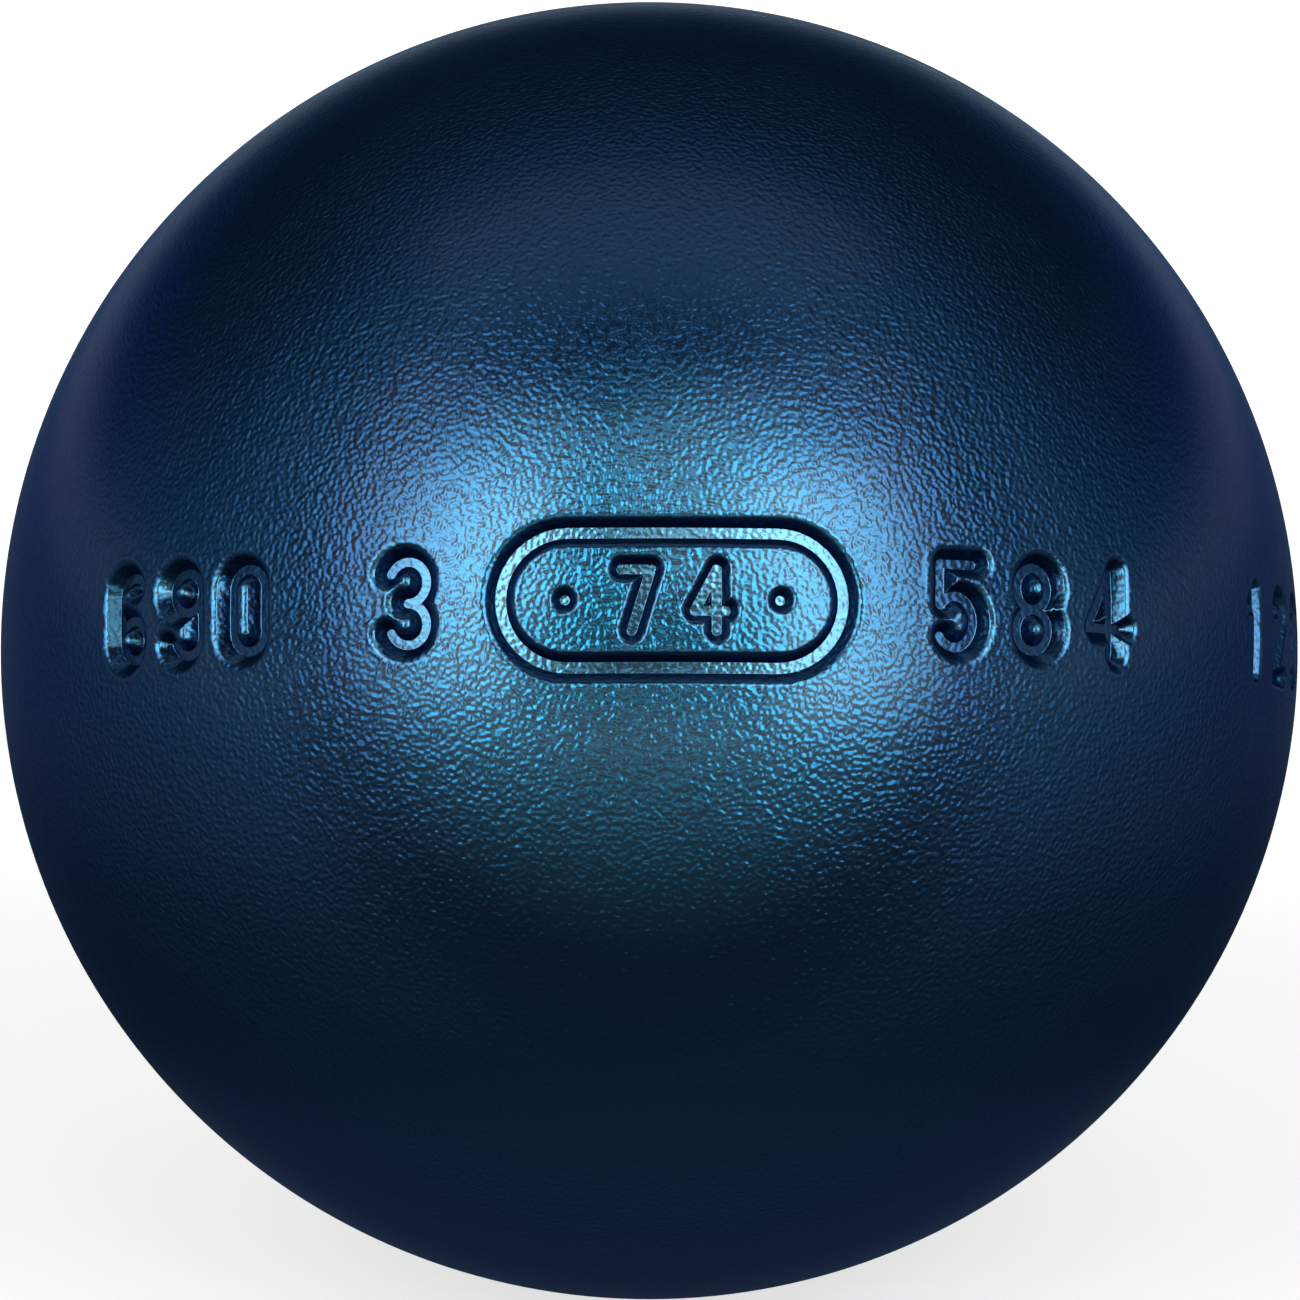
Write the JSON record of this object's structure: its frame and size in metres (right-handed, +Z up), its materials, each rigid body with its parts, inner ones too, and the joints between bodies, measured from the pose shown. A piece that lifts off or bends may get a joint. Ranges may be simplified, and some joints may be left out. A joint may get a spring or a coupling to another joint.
{
  "type": "petanque boule",
  "caption": "Hollow welded steel throwing ball for petanque, two pressed half shells and a flush weld, blasted and lacquered blue.",
  "frame": {"origin": "centre of the ball", "axes": "+Z up, +Y away from the viewer; the weld lies in the XZ plane and the marked half shell's pole faces -Y"},
  "size_m": [0.074, 0.074, 0.074],
  "materials": {
    "lacquered_steel": "shot-blasted steel under a thin satin blue lacquer",
    "lacquered_weld": "weld metal turned flush, blasted and lacquered with the shells"
  },
  "bodies": {
    "root": {"front_half_shell": "lacquered_steel", "back_half_shell": "lacquered_steel", "weld_seam": "lacquered_weld"}
  },
  "joints": []
}
